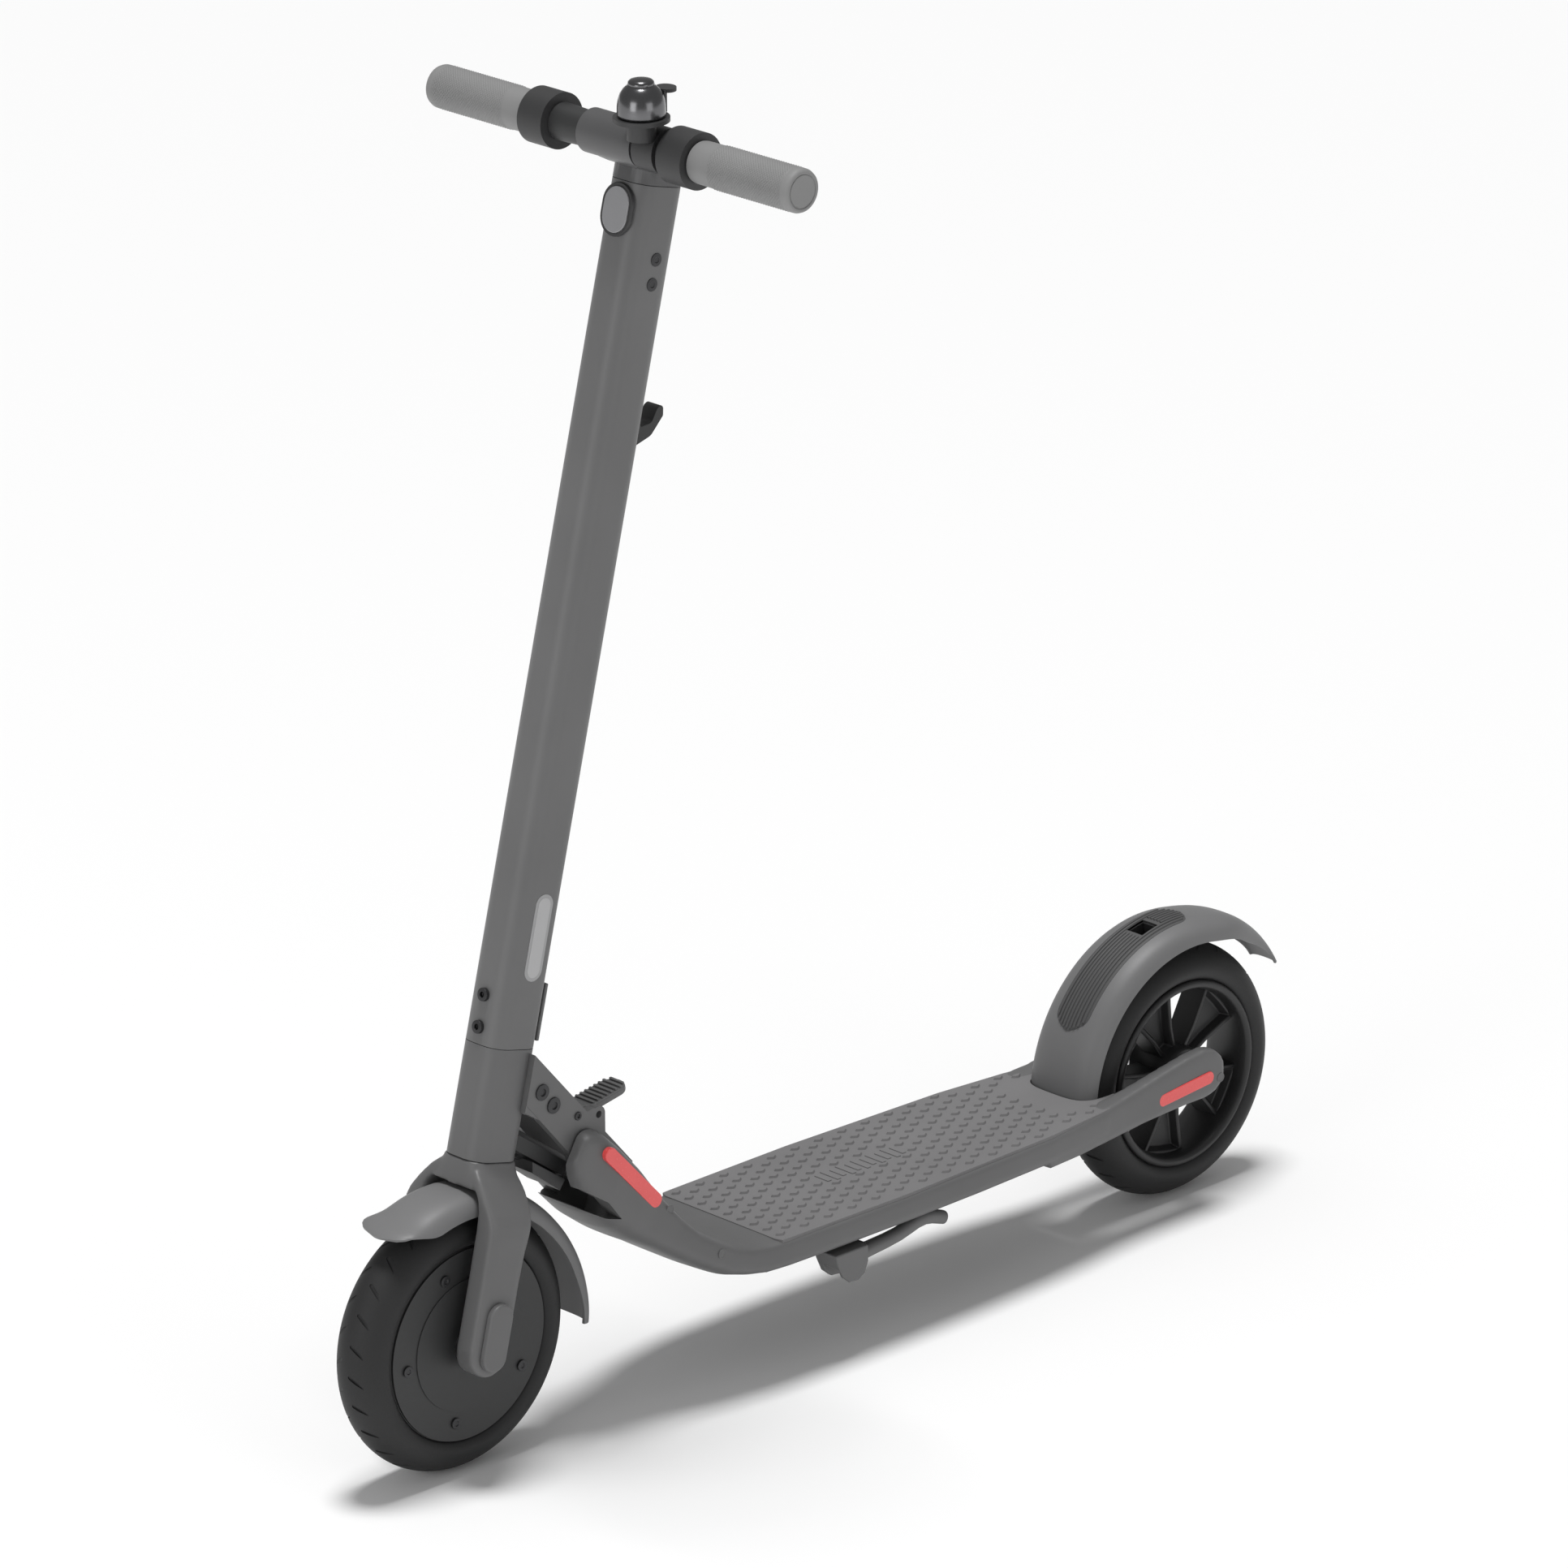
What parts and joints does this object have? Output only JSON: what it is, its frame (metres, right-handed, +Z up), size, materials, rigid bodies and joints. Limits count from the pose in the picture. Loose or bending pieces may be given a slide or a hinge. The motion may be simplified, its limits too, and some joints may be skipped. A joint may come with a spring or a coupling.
{
  "type": "electric kick scooter",
  "caption": "Folding electric kick scooter: leaning stem on a hinged neck, foot deck, hub motor in the front wheel, foot brake fender over the rear wheel and twist-free thumb levers.",
  "frame": {"origin": "on the ground, under the centre of the overall bounding box", "axes": "+X forwards, +Y to the rider's left, +Z up"},
  "size_m": [1.0929, 0.423, 1.151],
  "materials": {
    "frame_paint": "satin dark grey paint over aluminium alloy",
    "stem_paint": "satin dark grey paint over aluminium alloy",
    "clamp_metal": "satin grey paint over cast alloy",
    "dark_metal": "satin near-black paint over alloy",
    "rim_metal": "satin black paint over cast alloy",
    "steel": "plain turned steel",
    "bare_aluminium": "satin bare metal",
    "black_plastic": "fine matte",
    "grey_plastic": "fine matte grey",
    "gloss_black": "glossy black",
    "tyre": "matt black tread rubber",
    "grip_rubber": "knurled matt grey rubber",
    "mat_rubber": "ribbed matt grey rubber",
    "black_rubber": "matt black rubber",
    "reflector_red": "red prismatic plastic",
    "lamp_lens": "clear moulded lens",
    "bell_metal": "dark polished metal",
    "battery_wrap": "blue shrink wrap",
    "stator_core": "laminated core with windings"
  },
  "bodies": {
    "deck": {"deck_frame": "frame_paint", "bottom_cover": "black_plastic", "deck_mat": "mat_rubber", "neck_cover_left": "frame_paint", "neck_cover_right": "frame_paint", "side_reflectors": "reflector_red", "fold_pin": "steel", "controller": "bare_aluminium", "relay_box": "black_plastic", "kickstand_bracket": "dark_metal", "rear_axle": "steel", "fender_pins": "steel"},
    "head": {"head_tube": "frame_paint", "headset_bearings": "steel", "fold_screws": "steel", "lock_barrel": "dark_metal", "lower_guard": "black_plastic"},
    "steering": {"stem_tube": "stem_paint", "steerer": "steel", "battery_pack": "battery_wrap", "strip_cover": "black_plastic", "charge_socket": "black_plastic", "stem_hook": "dark_metal", "stem_screws": "steel", "bar_clamp": "clamp_metal", "handlebar": "dark_metal", "grip_left": "grip_rubber", "grip_right": "grip_rubber", "brake_housing": "black_plastic", "throttle_housing": "black_plastic", "dash": "gloss_black", "headlight_bezel": "black_plastic", "headlight_lens": "lamp_lens", "bell_base": "black_plastic", "bell_dome": "bell_metal", "fork": "frame_paint", "axle_covers": "black_plastic", "front_fender": "grey_plastic", "front_axle": "steel", "motor_stator": "stator_core"},
    "front_wheel": {"front_tyre": "tyre", "motor_shell": "dark_metal", "motor_magnets": "steel", "motor_covers": "dark_metal", "motor_screws": "steel", "motor_bearings": "steel"},
    "rear_wheel": {"rear_tyre": "tyre", "rear_rim": "rim_metal", "rear_bearings": "steel"},
    "foot_brake": {"rear_fender": "grey_plastic", "step_pad": "black_rubber", "brake_pad": "black_rubber"},
    "stand": {"kickstand": "dark_metal"},
    "pedal": {"fold_pedal": "dark_metal"},
    "bolt": {"lock_bolt": "steel"},
    "throttle": {"throttle_paddle": "black_plastic"},
    "brake": {"brake_paddle": "black_plastic"},
    "bell_thumb": {"bell_lever": "black_plastic"},
    "button": {"power_button": "gloss_black"},
    "flap": {"charge_flap": "black_rubber"}
  },
  "joints": [
    {"name": "stem_fold", "type": "hinge", "parent": "deck", "child": "head", "pos_m": [0.26529, 0, 0.21305], "axis": [0, -1, 0], "range_deg": [0, 80]},
    {"name": "steering_turn", "type": "hinge", "parent": "head", "child": "steering", "pos_m": [0.43215, 0, 0.1143], "axis": [-0.247, 0, 0.969], "range_deg": [-50, 50]},
    {"name": "front_wheel_spin", "type": "hinge", "parent": "steering", "child": "front_wheel", "pos_m": [0.43215, 0, 0.1143], "axis": [0, 1, 0], "continuous": true},
    {"name": "rear_wheel_spin", "type": "hinge", "parent": "deck", "child": "rear_wheel", "pos_m": [-0.40685, 0, 0.1143], "axis": [0, 1, 0], "continuous": true},
    {"name": "foot_brake_press", "type": "hinge", "parent": "deck", "child": "foot_brake", "pos_m": [-0.28185, 0, 0.1113], "axis": [0, -1, 0], "range_deg": [0, 2.2], "stiffness_Nm_per_rad": 60, "springref_deg": -1.72},
    {"name": "stand_swing", "type": "hinge", "parent": "deck", "child": "stand", "pos_m": [0.04729, 0.064, 0.088], "axis": [0.0741, -0.7087, -0.7016], "range_deg": [0, 97]},
    {"name": "pedal_press", "type": "hinge", "parent": "head", "child": "pedal", "pos_m": [0.28829, 0, 0.27605], "axis": [0, -1, 0], "range_deg": [0, 18], "stiffness_Nm_per_rad": 0.4, "springref_deg": -2.86},
    {"name": "bolt_slide", "type": "slide", "parent": "head", "child": "bolt", "axis": [0.8059, 0, 0.592], "range_m": [0, 0.0085]},
    {"name": "throttle_press", "type": "hinge", "parent": "steering", "child": "throttle", "pos_m": [0.22417, -0.081, 1.08893], "axis": [0, -1, 0], "range_deg": [0, 22], "stiffness_Nm_per_rad": 0.15, "springref_deg": -2.86},
    {"name": "brake_press", "type": "hinge", "parent": "steering", "child": "brake", "pos_m": [0.22417, 0.081, 1.08893], "axis": [0, -1, 0], "range_deg": [0, 22], "stiffness_Nm_per_rad": 0.15, "springref_deg": -2.86},
    {"name": "bell_thumb_push", "type": "hinge", "parent": "steering", "child": "bell_thumb", "pos_m": [0.24217, 0.046, 1.12393], "axis": [0, 0, 1], "range_deg": [0, 18], "stiffness_Nm_per_rad": 0.05, "springref_deg": -2.86},
    {"name": "power_button_push", "type": "slide", "parent": "steering", "child": "button", "axis": [0.36, 0, -0.933], "range_m": [0, 0.0008], "stiffness_N_per_m": 400, "springref_m": -0.0003},
    {"name": "charge_flap_open", "type": "hinge", "parent": "steering", "child": "flap", "pos_m": [0.33975, 0, 0.35049], "axis": [0, -1, 0], "range_deg": [0, 100]}
  ],
  "couplings": [
    {"joint": "bolt_slide", "follows": "pedal_press", "m_per_rad": 0.025}
  ]
}
